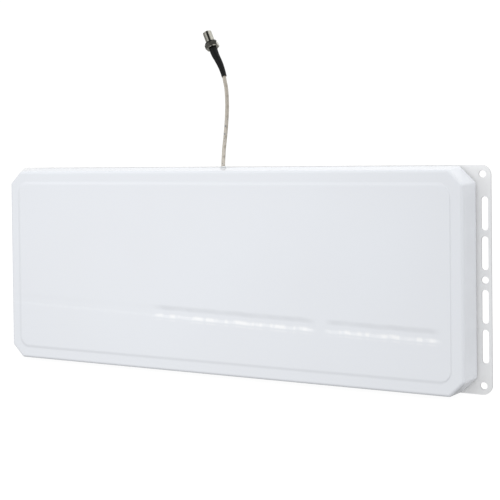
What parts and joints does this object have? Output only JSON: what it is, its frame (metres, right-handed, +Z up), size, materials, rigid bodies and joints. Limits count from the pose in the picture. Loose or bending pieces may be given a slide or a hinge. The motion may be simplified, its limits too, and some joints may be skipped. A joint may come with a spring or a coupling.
{
  "type": "flat panel antenna",
  "caption": "Long white flat panel antenna: a shallow domed cover with cut corners on a drilled and slotted back plate, with a short coax pigtail and threaded connector.",
  "frame": {"origin": "middle of the back plate's rear face, which lies on the wall", "axes": "+X along the panel, +Y into the wall (the face looks towards -Y), +Z up towards the cable"},
  "size_m": [0.72, 0.0546, 0.4709],
  "materials": {
    "powder_coat": "white powder coat on aluminium sheet",
    "radome_plastic": "satin to gloss white moulded shell",
    "gasket_rubber": "dark grey seal",
    "seal_rubber": "black nitrile ring",
    "white_silicone": "soft matte silicone bush",
    "sheet_aluminium": "mill finish, folded sheet",
    "patch_aluminium": "mill finish, stamped sheet",
    "nylon": "natural nylon",
    "plated_steel": "zinc plated",
    "circuit_board": "glass-epoxy board with solder mask",
    "brass": "gold flashed",
    "cable_jacket": "translucent beige jacket over braid",
    "shrink_black": "recovered heat-shrink tube",
    "nickel": "polished nickel plate",
    "ptfe": "white dielectric"
  },
  "bodies": {
    "root": {"back_plate": "powder_coat", "rim_gasket": "gasket_rubber", "radome": "radome_plastic", "reflector_tray": "sheet_aluminium", "feed_board": "circuit_board", "coax_inside": "cable_jacket", "cable_grommet": "white_silicone", "pigtail_cable": "cable_jacket", "heat_shrink": "shrink_black", "crimp_ferrule": "nickel", "connector_body": "nickel", "connector_o_ring": "seal_rubber", "connector_insulator": "ptfe", "connector_contact": "brass", "radome_screw_1": "plated_steel", "radome_screw_2": "plated_steel", "radome_screw_3": "plated_steel", "radome_screw_4": "plated_steel", "radome_screw_5": "plated_steel", "radome_screw_6": "plated_steel", "radome_screw_7": "plated_steel", "radome_screw_8": "plated_steel", "radome_screw_9": "plated_steel", "radome_screw_10": "plated_steel", "tray_standoff_1": "plated_steel", "tray_standoff_2": "plated_steel", "tray_standoff_3": "plated_steel", "tray_standoff_4": "plated_steel", "tray_standoff_5": "plated_steel", "tray_standoff_6": "plated_steel", "tray_screw_1": "plated_steel", "tray_screw_2": "plated_steel", "tray_screw_3": "plated_steel", "tray_screw_4": "plated_steel", "tray_screw_5": "plated_steel", "tray_screw_6": "plated_steel", "driven_patch_1": "patch_aluminium", "driven_patch_2": "patch_aluminium", "driven_patch_3": "patch_aluminium", "director_patch_1": "patch_aluminium", "director_patch_2": "patch_aluminium", "director_patch_3": "patch_aluminium", "patch_post_1": "nylon", "patch_post_2": "nylon", "patch_post_3": "nylon", "patch_post_4": "nylon", "patch_post_5": "nylon", "patch_post_6": "nylon", "patch_post_7": "nylon", "patch_post_8": "nylon", "patch_post_9": "nylon", "patch_post_10": "nylon", "patch_post_11": "nylon", "patch_post_12": "nylon", "feed_pin_1": "brass", "feed_pin_2": "brass", "feed_pin_3": "brass", "board_screw_1": "plated_steel", "board_screw_2": "plated_steel", "board_screw_3": "plated_steel"}
  },
  "joints": []
}
